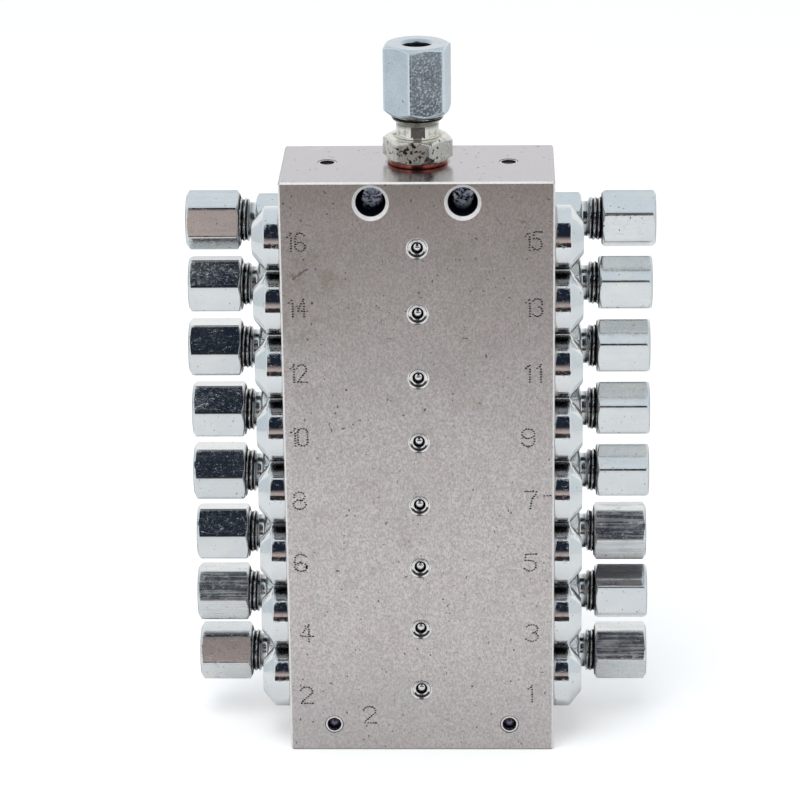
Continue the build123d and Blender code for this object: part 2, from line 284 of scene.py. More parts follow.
bpy.context.scene.view_settings.view_transform = "Standard"
world, tree, surface = open_tree(bpy.data.worlds.new("pale_room"), "ShaderNodeOutputWorld")
bpy.context.scene.world = world
seen = source(tree, "ShaderNodeLightPath", "Is Glossy Ray")
seen = seen.of("MAXIMUM", source(tree, "ShaderNodeLightPath", "Is Camera Ray"))
overhead = source(tree, "ShaderNodeTexCoord", "Generated").parts()[2]
sky_colour = tint(between(overhead, 0.25, 0.9), (1.0, 1.0, 1.0), (0.76, 0.83, 0.88))
fill(surface, seen.add("ShaderNodeBackground", {"Color": sky_colour, "Strength": 0.76 + 0.24 * seen}))

floor_paint, tree, surface = open_tree(bpy.data.materials.new("floor_paint"))
to_camera = source(tree, "ShaderNodeLightPath", "Is Camera Ray")
chalk = to_camera.add("ShaderNodeBsdfDiffuse", {"Color": (0.93, 0.93, 0.93, 1.0)})
glow = to_camera.add("ShaderNodeEmission", {"Color": (1.0, 1.0, 1.0, 1.0), "Strength": 0.25 * to_camera})
fill(surface, chalk.through("ShaderNodeAddShader", {1: glow}))
FAR = 3000
flat_sheet("floor", [(-FAR, -FAR, 0), (FAR, -FAR, 0), (FAR, FAR, 0), (-FAR, FAR, 0)], floor_paint)
print("floor and world ready")

# %% Cards for the reflections
def card(name, corner_a, corner_b, low, high=None):
    """A glowing upright card that only glossy rays meet; its colour may change on its way up."""
    (x0, y0, z0), (x1, y1, z1) = corner_a, corner_b
    paint, tree, surface = open_tree(bpy.data.materials.new(name))
    tall = source(tree, "ShaderNodeTexCoord", "Object").parts()[2]
    rise = between(tall, (z0 + 0.15 * (z1 - z0)) * MM, z1 * MM)
    fill(surface, tall.add("ShaderNodeEmission", {"Color": tint(rise, low, high or low)}))
    sheet = flat_sheet(name, [(x0, y0, z0), (x1, y1, z0), (x1, y1, z1), (x0, y0, z1)], paint)
    for ray in ("camera", "diffuse", "transmission", "volume_scatter", "shadow"):
        setattr(sheet, "visible_" + ray, False)


DUSK = (0.034, 0.027, 0.029)
NIGHT = (0.013, 0.019, 0.032)
BLUSH = (0.55, 0.45, 0.42)
card("slit_low", (-188, -266, 20), (188, -266, 82), DUSK)
card("slit_side", (176, -266, 20), (245, -266, 88), NIGHT)
card("slit_middle", (-117, -265, 48), (117, -265, 99), DUSK)
card("slit_warm", (-117, -265, 99), (117, -265, 215), BLUSH, NIGHT)
card("slit_high", (-117, -265, 215), (117, -265, 720), NIGHT)
card("wall_left", (-620, -420, 1), (-620, 420, 520), (0.66, 0.73, 0.77), (0.80, 0.86, 0.90))
card("wall_right", (620, -420, 1), (620, 420, 520), (0.72, 0.78, 0.81), (0.84, 0.89, 0.92))
print("five cards stand 25 cm in front of the block, and two walls at its sides")

# %% [markdown]
# ## A soft lamp
#
# One large lamp above gives the floor its soft shadow. Reflections don't see it, so the metal
# keeps the plain white of the room.

# %% Lamp
lamp_data = bpy.data.lights.new("soft_lamp", "AREA")
lamp_data.shape = "SQUARE"
lamp_data.size = 0.9
lamp_data.energy = 7.0
lamp = new_object("soft_lamp", lamp_data)
lamp.location = (-0.25, -0.45, 1.25)
lamp.rotation_euler = Vector((0.25, 0.45, -1.15)).to_track_quat("-Z", "Y").to_euler()
lamp.visible_glossy = False
print("lamp of", lamp_data.energy, "watts")

# %% [markdown]
# ## Finishes
#
# Every finish starts in the same way: a Principled shader, mostly with Metallic at 1, a colour
# that wanders a little, a roughness that wanders too, and a shallow bump. What differs is the
# scale and the strength of each. Patterns are written in metres of the object itself, so a pit
# of 0.3 mm stays 0.3 mm on every piece.

# %% Shader helpers
def new_finish(name):
    """A new material with its Principled shader and the object coordinates as a wire."""
    paint, tree, surface = open_tree(bpy.data.materials.new(name))
    shader = tree.nodes.new("ShaderNodeBsdfPrincipled")
    fill(surface, Wire(shader.outputs[0]))
    return paint, shader, source(tree, "ShaderNodeTexCoord", "Object")


def finish_metal(shader, colour, roughness, normal, metallic=1.0):
    """Plugs the varying parts of a metal into its shader."""
    for name, value in (("Base Color", colour), ("Roughness", roughness), ("Normal", normal),
                        ("Metallic", metallic)):
        fill(shader.inputs[name], value)


def grain(place, scale, detail=2.0, roughness=0.5, shift=(0.0, 0.0, 0.0), turn=(0.0, 0.0, 0.0)):
    """Noise from 0 to 1; scale is how many blotches fit in a metre, along each axis."""
    scale = scale if isinstance(scale, tuple) else (scale, scale, scale)
    spot = place.through("ShaderNodeMapping", {"Scale": scale, "Location": shift, "Rotation": turn})
    return spot.through("ShaderNodeTexNoise", {"Scale": 1.0, "Detail": detail, "Roughness": roughness})


def relief(height, distance, strength=1.0):
    """A bump of so many millimetres from a height of 0 to 1."""
    return height.add("ShaderNodeBump", {
        "Height": height, "Distance": distance * MM, "Strength": strength})


def stored(place, label):
    """A number from 0 to 1 that the recipe has stored on the mesh."""
    return place.add("ShaderNodeAttribute", {}, {"attribute_name": label}, 2)


def distance_from(place, point):
    """How far a spot lies from a point given in millimetres."""
    gap = place.through("ShaderNodeVectorMath", {1: Vector(point) * MM}, {"operation": "SUBTRACT"})
    return gap.add("ShaderNodeVectorMath", {0: gap}, {"operation": "LENGTH"}, 1)


def distance_to_line(place, start, end):
    """How far a spot lies from a line on the front face, given by its ends (x, z) in millimetres."""
    across, _, tall = place.parts()
    along_x, along_z = ((b - a) * MM for a, b in zip(start, end))
    from_x, from_z = across - start[0] * MM, tall - start[1] * MM
    part = (from_x * along_x + from_z * along_z) / (along_x ** 2 + along_z ** 2)
    part = part.of("MINIMUM", 1.0).of("MAXIMUM", 0.0)
    off_x, off_z = from_x - part * along_x, from_z - part * along_z
    return (off_x * off_x + off_z * off_z).of("SQRT")


print("finish helpers ready")

# %% [markdown]
# ## The steel of the block
#
# The block is ground steel that has been oiled and handled: a warm grey with fine flecks, small
# dark pits, a few bright scratches, three dark gouges and faint cloudy stains. The flecks come
# from noise that is stretched to twice its length along the height.

# %% Block steel
block_steel, shader, place = new_finish("ground_steel")
tall = place.parts()[2]
cloud = grain(place, 45.0, 3.0, 0.6)
mottle = grain(place, (2300.0, 2300.0, 1900.0), 3.0, 0.75)
fleck = grain(place, (3400.0, 3400.0, 1700.0), 2.0, 0.6, shift=(3.1, 0.7, 0.2))
pits = between(grain(place, 1100.0, 1.0, 0.5, shift=(8.0, 2.0, 5.0)), 0.738, 0.760)
scratch = grain(place, (160.0, 160.0, 3200.0), 1.0, 0.4, shift=(1.0, 4.0, 2.0), turn=(0.3, 0.7, 0.0))
stain = between(grain(place, 110.0, 4.0, 0.65, shift=(5.0, 1.0, 9.0)), 0.56, 0.76)
hue = between(grain(place, 130.0, 2.0, 0.5, shift=(3.0, 8.0, 1.0)), 0.38, 0.62)
rust = between(17 * MM - distance_from(place, (-26.0, FRONT_Y, 110.0)), 0.0, 9 * MM)
rust = rust * between(grain(place, 330.0, 3.0, 0.65, shift=(4.0, 2.0, 7.0)), 0.50, 0.66)
layers = [
    (between(cloud, 0.3, 0.7), (0.775, 0.722, 0.708)),
    (between(mottle, 0.40, 0.62) * 0.60, (0.45, 0.408, 0.395)),
    (between(fleck, 0.47, 0.64) * 0.55, (0.39, 0.35, 0.335)),
    (stain * 0.34, (0.43, 0.375, 0.325)),
    # Darker and warmer towards the top, and darker again in the top 5 mm.
    (between(tall, 60 * MM, 140 * MM) * 0.28, (0.45, 0.375, 0.31)),
    (between(tall, 124 * MM, 136 * MM) * 0.26, (0.34, 0.30, 0.27)),
    (rust * 0.42, (0.40, 0.325, 0.235)),
    # Painted shade: the lowest 30 mm are darker, standing in for the shaded floor in the front's
    # reflection.
    (between(30 * MM - tall, 0.0, 24 * MM) * 0.32, (0.40, 0.37, 0.38)),
    (pits * 0.80, (0.12, 0.10, 0.095)),
    (between(scratch, 0.75, 0.77) * 0.4, (0.80, 0.785, 0.77)),
]
ragged = 2.2 * MM * (grain(place, 900.0, 3.0, 0.7) - 0.5)
for start, end, depth in (((-27.2, 113.3), (-24.0, 115.5), 0.7), ((17.2, 127.0), (18.3, 125.7), 0.5),
                          ((22.0, 126.5), (24.2, 125.5), 0.4)):
    gouge = 0.30 * MM + ragged - distance_to_line(place, start, end)
    layers.append((between(gouge, 0.0, 0.25 * MM) * depth, (0.17, 0.14, 0.125)))
colour = tint(hue, (0.668, 0.644, 0.622), (0.712, 0.628, 0.632))
for mask, shade in layers:
    colour = tint(mask, colour, shade)

on_top = between(tall - (BLOCK_TOP - 0.3) * MM, 0.0, 0.15 * MM)
top_colour = tint(between(mottle, 0.45, 0.65) * 0.12, (0.51, 0.498, 0.53), (0.42, 0.40, 0.41))
# Painted shade: a dark ring on the top round the washer, where its contact shadow falls.
washer_shadow_ring = between(7.5 * MM - distance_from(place, (0.0, INLET_Y, BLOCK_TOP)), 0.0, 0.8 * MM)
colour = tint(on_top * 0.8, colour, tint(pits * 0.8, top_colour, (0.10, 0.09, 0.09)))
colour = tint(on_top * washer_shadow_ring * 0.6, colour, (0.10, 0.085, 0.08))
gloss = 0.28 + 0.12 * mottle + 0.08 * cloud + 0.25 * pits - 0.17 * on_top
height = 0.55 * mottle + 0.25 * fleck + 0.20 * (1 - pits)
finish_metal(shader, colour, gloss, relief(height, 0.035, 0.55))
print("block steel has", len(layers) + 3, "layers of colour")

# %% Four finishes for small places on the block
# Bright steel: polished bright on the countersinks, and a painted highlight on the chamfers of the long
# edges and on the upward walls of the punch marks.
burnished_and_highlit, shader, place = new_finish("burnished_and_highlit_steel")
rubbed = grain(place, 1800.0, 3.0, 0.6)
colour = tint(between(rubbed, 0.35, 0.7), (0.84, 0.81, 0.80), (0.72, 0.69, 0.68))
finish_metal(shader, colour, 0.34 + 0.12 * rubbed, relief(rubbed, 0.02, 0.6), 0.25)

staked, shader, place = new_finish("staked_rim")
rubbed = grain(place, 2600.0, 3.0, 0.65)
chatter = grain(place, 1500.0, 3.0, 0.7, shift=(2.0, 5.0, 1.0))
# The stored shade is painted shade in the crevice next to the ball, and also darkens a line round the
# outside and the lower half; the chatter makes its edge ragged.
shade = between(stored(place, "shade") + 1.5 * (chatter - 0.5), 0.30, 0.50)
colour = tint(between(rubbed, 0.35, 0.7), (0.86, 0.83, 0.815), (0.72, 0.69, 0.68))
colour = tint(shade * 0.96, colour, (0.025, 0.022, 0.022))
finish_metal(shader, colour, 0.12 + 0.10 * rubbed + 0.25 * shade, relief(rubbed, 0.02, 0.7), 0.9)

# Painted shade: the punch marks are near-black inside, and their upward walls get the painted highlight
# of the bright steel.
pit_steel, shader, place = new_finish("punched_pit")
dark_shade = grain(place, 2500.0, 2.0, 0.6)
colour = tint(dark_shade, (0.010, 0.008, 0.008), (0.035, 0.030, 0.028))
finish_metal(shader, colour, 0.55 + 0.15 * dark_shade, relief(dark_shade, 0.02, 0.5), 0.0)
shader.inputs["Specular IOR Level"].default_value = 0.2

# Painted shade inside the two mounting holes: a dark bluish metal, with black patches deep in the floor
# of each hole.
shaded_hole_wall, shader, place = new_finish("shaded_drilling")
across, inwards, tall = place.parts()
aside = (across.of("ABSOLUTE") - MOUNT_X * MM).of("ABSOLUTE")
worn = grain(place, (900.0, 450.0, 900.0), 4.0, 0.7)
shade_patch = between(worn, 0.40, 0.56) * between(2.3 * MM - aside + 2.2 * MM * (worn - 0.5), 0.0, 0.5 * MM)
shade_patch = shade_patch * between(MOUNT_Z * MM - tall, 0.0, 1.0 * MM)
shade_patch = shade_patch * between(inwards - FRONT_Y * MM, 5 * MM, 14 * MM) * 0.75
colour = tint(worn, (0.0, 0.02, 0.09), (0.09, 0.13, 0.24))
finish_metal(shader, colour, 0.10 + 0.18 * worn, relief(worn, 0.02, 0.8))
dark_shade = place.add("ShaderNodeBsdfDiffuse", {"Color": (0.006, 0.008, 0.017, 1.0)})
surface = shader.outputs[0].links[0].to_socket
fill(surface, shade_patch.through("ShaderNodeMixShader", {1: dark_shade, 2: Wire(shader.outputs[0])}))
print("finishes for countersinks, rims, punch marks and the two holes")

# %% [markdown]
# ## Bright zinc of the nuts and fittings
#
# The fittings are plated in a bluish bright zinc over forged steel that wasn't polished first.
# The plating shines, but the skin under it is dented and mottled, so each reflected band has a
# ragged edge. Three bumps do it: dents about two millimetres wide, a fine grit, and frosty patches.

# %% Zinc
def scratches(place, scale, level, shift):
    """Thin bent scratches: where a stretched noise crosses its middle, in some patches only."""
    found = []
    for turn in ((0.2, 0.5, 0.9), (1.1, -0.4, 2.3)):
        wave = grain(place, (0.35 * scale, 1.6 * scale, 1.6 * scale), 1.5, 0.4, shift, turn) - 0.5
        patch = grain(place, 0.9 * scale, 2.0, 0.6, (shift[1], 5.0, turn[0]))
        line = 1 - between(wave.of("ABSOLUTE"), 0.003, 0.016)
        found.append(line * between(patch, level, level + 0.06))
    return found[0].of("MAXIMUM", found[1])


def zinc_finish(name, base, warm, dirt, dirt_level, dent=0.04, polish=0.07, pit_level=0.72,
                pit_scale=1500.0, metallic=1.0, grit=0.16, scratched=0.555, frosty=0.05, frosted=0.06,
                frost_scale=1300.0, dirty_spots=(), turned_above=None, edge_highlight=0.0):
    """Bright plating over a dented skin, with stains of a given colour and amount."""
    paint, shader, place = new_finish(name)
    patch = grain(place, 150.0, 3.0, 0.6)
    dents = grain(place, 420.0, 2.0, 0.5)
    fine = grain(place, 2300.0, 3.0, 0.65, shift=(4.0, 4.0, 1.0))
    frost = between(grain(place, frost_scale, 4.0, 0.75, shift=(1.0, 6.0, 2.0)), 0.52, 0.66)
    lines = scratches(place, 500.0, scratched, (0.0, 2.0, 6.0))
    lines = lines.of("MAXIMUM", scratches(place, 1000.0, scratched, (5.0, 1.0, 2.0)))
    speckle = grain(place, pit_scale, 2.0, 0.6, shift=(7.0, 3.0, 3.0))
    if turned_above:
        above = between(place.parts()[2] - turned_above * MM, 0.0, 0.3 * MM)
        speckle = speckle - 0.08 * above
    for centre, reach, amount in dirty_spots:
        near = between(reach * MM - distance_from(place, centre), 0.0, 0.8 * reach * MM)
        speckle = speckle + amount * near
    specks = between(speckle, pit_level, pit_level + 0.02)
    brushed = between(grain(place, (55.0, 2200.0, 2200.0), 3.0, 0.7, shift=(6.0, 1.0, 4.0)), 0.46, 0.62)
    uneven = between(grain(place, 260.0, 3.0, 0.6, shift=(9.0, 1.0, 7.0)), 0.3, 0.7)
    dull = stored(place, "dull") * (0.55 + 0.45 * uneven)
    smear = grain(place, 300.0, 4.0, 0.7, shift=(2.0, 9.0, 4.0))
    smear = between(smear, dirt_level, dirt_level + 0.14)
    shade, edge = stored(place, "shade"), stored(place, "edge")
    colour = tint(between(patch, 0.35, 0.7), base, warm)
    for mask, paler in (
        (smear * 0.55, dirt),
        (specks * 0.98, (0.022, 0.018, 0.016)),
        (dull * brushed * 0.25, (0.42, 0.43, 0.45)),
        (lines * 0.3, (0.95, 0.96, 0.97)),
        # Painted highlight: a pale bluish line along the chamfer edges where the edge factor is set, and
        # wherever the stored shade is below 0. The stored shade above 0 is mostly painted shade in
        # grooves, bores, gaps and undersides, partly old oil.
        (edge * 0.25 * (1 - edge_highlight), (0.40, 0.42, 0.44)),
        ((edge * edge_highlight).of("MAXIMUM", 0 - shade), (0.76, 0.86, 0.94)),
        (shade * 0.95, (0.020, 0.022, 0.028)),
    ):
        colour = tint(mask, colour, paler)
    gloss = polish + 0.04 * between(patch, 0.35, 0.75) + frosted * frost + 0.15 * smear
    gloss = gloss + 0.2 * shade + 0.18 * lines + 0.3 * specks + dull * (0.10 + 0.18 * brushed)
    height = 0.62 * dents + grit * fine + frosty * frost + 0.05 * lines - 0.2 * specks
    height = height + 0.08 * dull * brushed
    if turned_above:
        gloss = gloss - 0.22 * above
        height = height * (1 - 0.7 * above)
    finish_metal(shader, colour, gloss, relief(height, dent, 0.6), metallic)
    return paint


fitting_zinc = zinc_finish(
    "bright_zinc", (0.72, 0.745, 0.758), (0.785, 0.79, 0.778), (0.34, 0.32, 0.28), 0.62, pit_level=0.70)
plug_zinc = zinc_finish(
    "plug_plating", (0.725, 0.748, 0.762), (0.775, 0.782, 0.782), (0.40, 0.37, 0.34), 0.68,
    dent=0.024, polish=0.05, scratched=0.58, frosty=0.25, frosted=0.17)
# The inlet nut gets a painted highlight along its chamfer edges.
top_zinc = zinc_finish(
    "blue_zinc", (0.515, 0.575, 0.625), (0.60, 0.65, 0.69), (0.36, 0.34, 0.30), 0.68,
    dent=0.05, polish=0.17, grit=0.20, scratched=0.66, frosty=0.20, frosted=0.20,
    frost_scale=1900.0, edge_highlight=0.8)
inlet_zinc = zinc_finish(
    "yellowed_zinc", (0.77, 0.758, 0.68), (0.72, 0.69, 0.62), (0.20, 0.155, 0.115), 0.56,
    dent=0.06, polish=0.25, pit_level=0.635, pit_scale=900.0, metallic=0.88, grit=0.25,
    turned_above=BLOCK_TOP + 6.0, dirty_spots=(
        ((0.0, INLET_Y - 7.0, BLOCK_TOP + 3.0), 4.8, 0.10),
        ((2.9, INLET_Y - 7.0, BLOCK_TOP + 2.0), 1.5, 0.20)))
print("zinc for fittings, plugs and the inlet")

# %% [markdown]
# ## Copper, balls, rings and spools
#
# The washer is dark red copper with darker patches. The front balls are plain hardened steel,
# the lower and upper ones are darker from heat. The spools and cutting rings stay inside and are
# lapped or turned steel with fine lines round them.

# %% Copper and the small steels
copper, shader, place = new_finish("soft_copper")
bloom = grain(place, 500.0, 3.0, 0.6)
colour = tint(between(bloom, 0.35, 0.7), (0.36, 0.10, 0.075), (0.11, 0.03, 0.025))
finish_metal(shader, colour, 0.10 + 0.2 * bloom, relief(grain(place, 1800.0, 2.0), 0.03, 0.5))


def ball_finish(name, base, shade):
    """Hard polished steel with a faint cloud of a second shade."""
    paint, shader, place = new_finish(name)
    cloudy = grain(place, 900.0, 2.0, 0.5)
    # The stored shade is painted shade where the ball hides under its rim.
    colour = tint(stored(place, "shade") * 0.97, tint(cloudy, base, shade), (0.01, 0.01, 0.012))
    finish_metal(shader, colour, 0.06 + 0.06 * cloudy, relief(grain(place, 3000.0, 1.0), 0.006, 0.4))
    return paint


def turned_finish(name, base, shade, lines_along):
    """Turned or lapped steel; lines_along is the noise scale per axis."""
    paint, shader, place = new_finish(name)
    lines = grain(place, lines_along, 2.0, 0.5)
    finish_metal(shader, tint(lines, base, shade), 0.14 + 0.14 * lines, relief(lines, 0.012, 0.5))
    return paint


ball_steel = ball_finish("polished_ball", (0.76, 0.765, 0.78), (0.69, 0.695, 0.715))
ball_dark = ball_finish("blued_ball", (0.165, 0.15, 0.215), (0.105, 0.10, 0.15))
ring_steel = turned_finish("turned_ring", (0.50, 0.47, 0.40), (0.42, 0.39, 0.33), (4500.0, 500.0, 500.0))
spool_steel = turned_finish(
    "lapped_spool", (0.64, 0.645, 0.655), (0.56, 0.565, 0.575), (5200.0, 160.0, 160.0))
print("copper, balls, rings and spools")

# %% [markdown]
# ## One recipe for everything that was turned
#
# Nuts, fitting bodies, plugs and the washer all came off a lathe, and some then had flats milled
# or a thread cut. The recipe copies that. It takes the outline of half the section as a row of
# points (distance along the axis, radius), spins it round a grid, then cuts the six flats by
# taking the smaller of the turned radius and the distance to the flat. A smooth minimum rounds
# the edge between the two, and a little noise in its width makes the edge look used.
# The grid's columns are gathered near the six corners, where the shape bends most.

# %% Recipe: turned part with flats and thread
turned, given, last = new_recipe("turned_part", [
    ("Steps round", "Int"), ("Gather", "Float"), ("Flats", "Float"), ("Edge softness", "Float"),
    ("Edge wear", "Float"), ("Seed", "Float"), ("Flats turn", "Float"), ("Axis turn", "Rotation"),
    ("Place", "Vector"), ("Dull", "Float"), ("Shade below", "Float"), ("Finish", "Material"),
])
outline = given["Geometry"]
count = outline.through("GeometryNodeAttributeDomainSize")
columns = given["Steps round"] + 1
grid = outline.add("GeometryNodeMeshGrid", {"Vertices X": count, "Vertices Y": columns})
number = outline.add("GeometryNodeInputIndex")
row = (number / columns + 0.00001).of("FLOOR")
column = number - row * columns


def from_outline(kind, value):
    """The value that the outline has at the row of this grid point."""
    return outline.through(
        "GeometryNodeSampleIndex", {"Value": value, "Index": row}, {"data_type": kind})


def named(label):
    """A number stored on the outline's points."""
    return outline.add("GeometryNodeInputNamedAttribute", {"Name": label})


SIXTH = math.tau / 6
along, radius, _ = from_outline("FLOAT_VECTOR", outline.add("GeometryNodeInputPosition")).parts()
even = column / given["Steps round"] * math.tau
angle = even - given["Gather"] * (even * 6.0).of("SINE") / 6.0
off_middle = (angle / SIXTH).of("FRACT") * SIXTH - SIXTH / 2
to_flat = 1.0 / off_middle.of("COSINE")
print("the grid has one row for each outline point and one column for each step round")

# %% The cut of the flats, the thread and the place
raw_point = outline.vector(radius * angle.of("COSINE"), radius * angle.of("SINE"), along + given["Seed"])
rub = outline.add("ShaderNodeTexNoise", {"Vector": raw_point, "Scale": 900.0, "Detail": 2.0})
softness = given["Edge softness"] + given["Edge wear"] * rub
flat_radius = given["Flats"] * to_flat
milled = radius.of("SMOOTH_MIN", flat_radius, softness)
milled = milled * (1 + from_outline("FLOAT", named("socket")) * (to_flat - 1))
thread_depth = from_outline("FLOAT", named("thread"))
phase = (along / (THREAD_PITCH * MM) + angle / math.tau).of("FRACT")
groove = (phase * 2 - 1).of("ABSOLUTE")
radius_cut = milled - thread_depth * groove
heading = angle + given["Flats turn"]
new_place = outline.vector(radius_cut * heading.of("COSINE"), radius_cut * heading.of("SINE"), along)
body = grid.through("GeometryNodeSetPosition", {"Position": new_place}).through("GeometryNodeFlipFaces")
# Painted shade in the grooves of a thread.
shade = between(groove, 0.3, 0.75) * (thread_depth > 0.00001) * 0.85
near_edge = (1 - (radius - flat_radius).of("ABSOLUTE") / (0.3 * MM)).of("MAXIMUM", 0.0)
body = store(body, "shade", from_outline("FLOAT", named("shade")) + shade)
body = store(body, "edge", near_edge)
body = store(body, "dull", given["Dull"])
body = body.through("GeometryNodeMergeByDistance", {"Distance": MERGE_GAP * MM})
body = body.through("GeometryNodeTransform", {
    "Rotation": given["Axis turn"], "Translation": given["Place"]})
# Painted shade under things: the stored shade grows on faces that look down, and faces that look
# straight down are darkened as well, by an amount given to the recipe.
facing_down = (0 - outline.add("GeometryNodeInputNormal").parts()[2]).of("MAXIMUM", 0.0)
shade_darker_below = named("shade") * (1 + 1.6 * facing_down)
underside_shade = given["Shade below"] * between(facing_down, 0.92, 0.99)
body = store(body, "shade", shade_darker_below.of("MAXIMUM", underside_shade))
body = body.through("GeometryNodeRealizeInstances")
fill(last, body.through("GeometryNodeSetMaterial", {"Material": given["Finish"]}))
print("recipe 'turned_part' has", len(turned.nodes), "nodes")

# %% [markdown]
# ## Outlines
#
# An outline is a list of corners. `outline_mesh` breaks each corner with a small curve, adds
# points on long runs, and stores three numbers on every point: how dark it is made, mostly as
# painted shade in bores, grooves, joints and sockets and partly as old oil and missing plating
# (below 0 it is a painted highlight), how deep a thread is cut there, and whether it belongs
# to a hexagon socket. The finishes read the first. A ring-shaped part repeats its first point.

# %% Outline from corners
def profile(points):
    """The recipe's base mesh from points of (along, radius, shade, thread, socket) in millimetres."""
    mesh = bpy.data.meshes.new("outline")
    mesh.from_pydata([(point[0] * MM, point[1] * MM, 0.0) for point in points], [], [])
    for column, (label, unit) in enumerate((("shade", 1.0), ("thread", MM), ("socket", 1.0)), 2):
        layer = mesh.attributes.new(label, "FLOAT", "POINT")
        layer.data.foreach_set("value", [point[column] * unit for point in points])
    return mesh


def outline_mesh(corners, corner_break=0.12, step=0.8, closed=True):
    """Corners are (along, radius, shade, step, thread, socket); the last four may be left out."""
    full = [(Vector(corner[:2]), *corner[2:], *(0,) * (6 - len(corner))) for corner in corners]
    points = []
    for number, (here, shade, run_step, thread, socket) in enumerate(full):
        before, after = full[number - 1][0], full[(number + 1) % len(full)][0]
        spots = [here]
        if closed or 0 < number < len(full) - 1:
            back, forth = before - here, after - here
            cut = min(corner_break, 0.45 * back.length, 0.45 * forth.length)
            first, final = here + back.normalized() * cut, here + forth.normalized() * cut
            spots = [first.lerp(here, share).lerp(here.lerp(final, share), share)
                     for share in (0.0, 0.33, 0.67, 1.0)]
        if closed or number < len(full) - 1:
            pieces = int((after - here).length / (run_step or step))
            for spot in [here.lerp(after, part / pieces) for part in range(1, pieces)]:
                if min((spot - here).length, (after - spot).length) > corner_break * 1.3:
                    spots.append(spot)
        points += [(*spot, shade, thread, socket) for spot in spots]
    return profile(points + points[:1] if closed else points)


AXIS_TURNS = {
    "up": (0.0, 0.0, 0.0),
    "front": (math.radians(90), 0.0, 0.0),
    "right": (math.radians(90), 0.0, math.radians(90)),
    "left": (math.radians(-90), 0.0, math.radians(90)),
}
NO_FLATS = 1000.0


def turn_part(name, outline, way, place, finish, flats=NO_FLATS, flats_turn=0.0, steps=96,
              softness=0.3, wear=0.0, seed=0.0, gather=0.6, dull=0.0, shade_below=0.0):
    """Runs the turned-part recipe; sizes in millimetres, the turn in degrees."""
    turn_sign = -1 if way == "left" else 1
    return make(name, outline, turned, {
        "Steps round": steps, "Gather": gather, "Flats": flats / 2 * MM, "Edge softness": softness * MM,
        "Edge wear": wear * MM, "Seed": seed, "Flats turn": math.radians(turn_sign * flats_turn),
        "Axis turn": AXIS_TURNS[way], "Place": Vector(place) * MM, "Dull": dull,
        "Shade below": shade_below, "Finish": finish,
    })


print("outlines can be turned to the left, to the right and upwards")

# %% [markdown]
# ## Union nuts
#
# A union nut is hexagon bar, bored and threaded from one end and drilled for the tube at the
# other. Both ends are chamfered on the lathe at 30 degrees, which gives the curved edges where
# the cone meets the flats. Only the inlet nut has a steeper open end. Each nut stopped at its own
# angle when it was tightened.

# %% Outline of a nut
def hexagon(flats):
    """Radius over the worn corners, radius of the end face, and length of a 30 degree chamfer."""
    corner_r, face_r = flats / math.sqrt(3) - 0.07, flats / 2 - 0.3
    return corner_r, face_r, (corner_r - face_r) * math.tan(math.radians(30))


def nut_corners(flats, length, bore_r, depth, rim_shade=0.4, hole_shade=0.75, mouth=0.25, open_end=None):
    """Half section of a union nut from its open end, in millimetres."""
    corner_r, face_r, chamfer = hexagon(flats)
    # The shade numbers paint shade on the inner end face, in the bore and deep in the tube hole, and a
    # dark line round the outer rim.
    open_end = open_end or [
        (0.0, face_r, 0.95, 0.2), (0.28, face_r + 0.485, 0.1, 0.3), (chamfer, corner_r, 0, 0.9)]
    return [
        (0.45, bore_r, 1), (0.0, bore_r + 0.35, 1), *open_end, (length - chamfer, corner_r, 0, 0.3),
        (length - 0.08, face_r + 0.14, rim_shade), (length, face_r, rim_shade), (length, face_r - 0.2),
        (length, TUBE_HOLE_R + mouth), (length - mouth, TUBE_HOLE_R, hole_shade),
        (length - 1.1, TUBE_HOLE_R, 0.9), (depth + bore_r - TUBE_HOLE_R, TUBE_HOLE_R, 0.75),
        (depth, bore_r, 1),
    ]


def outlets():
    """Number, side, sign of X, index of the level and height of each outlet, left side first."""
    for side, sign in SIDES.items():
        for index, level in enumerate(LEVELS):
            yield 2 * index + (2 if side == "left" else 1), side, sign, index, level


NUT_START, NUT_FLATS, NUT_LENGTH, NUT_BORE_R, NUT_DEPTH = 9.4, 11.75, 12.0, 5.0, 7.0
NUT_TURNS = {"left": (4, 58, 50, 56, 50, 57, 50, 20), "right": (57, 31, 58, 41, 38.5, 40, 41, 34)}
NUT_DULL = {"left": (0.4, 1.1, 0.0, 0.25, 0.0, 0.0, 0.0, 0.6),
            "right": (1.15, 0.1, 1.5, 0.3, 0.4, 0.2, 0.3, 0.2)}
NUT_STAND_OFF = {"left": (0.4, 0.6, 0.3, 0.6, 0.4, 0.8, 0.4, 0.5),
                 "right": (0.4, 0.4, 0.0, 0.5, 0.5, 0.4, 0.7, 1.3)}
nut_outline = outline_mesh(nut_corners(NUT_FLATS, NUT_LENGTH, NUT_BORE_R, NUT_DEPTH))

for number, side, sign, index, level in outlets():
    start = SIDE_X + NUT_START + NUT_STAND_OFF[side][index]
    # Each nut gets painted shade on the faces that look straight down.
    nut = turn_part(
        f"nut_{number}", nut_outline, side, (sign * start, OUTLET_Y, level), fitting_zinc,
        flats=NUT_FLATS, flats_turn=NUT_TURNS[side][index], steps=144, softness=0.14, wear=0.34,
        seed=0.13 * number, dull=NUT_DULL[side][index], shade_below=0.6,
    )
    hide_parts(f"outlet_nut_{number}")
    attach(nut, "block")
print("16 nuts,", len(nut.data.polygons), "faces each")

# %% [markdown]
# ## Fitting bodies
#
# Behind each nut sits the body of the fitting: a stud in the block, a hexagon for the spanner, a
# short neck, and the thread that the nut runs on. Only a turn or two of the thread shows, and it
# is a true helix. The dark lines between the hexagon and the nut are painted shade in its grooves
# and under it and at the nut's inner end, with darker lines where the neck meets hexagon and thread.

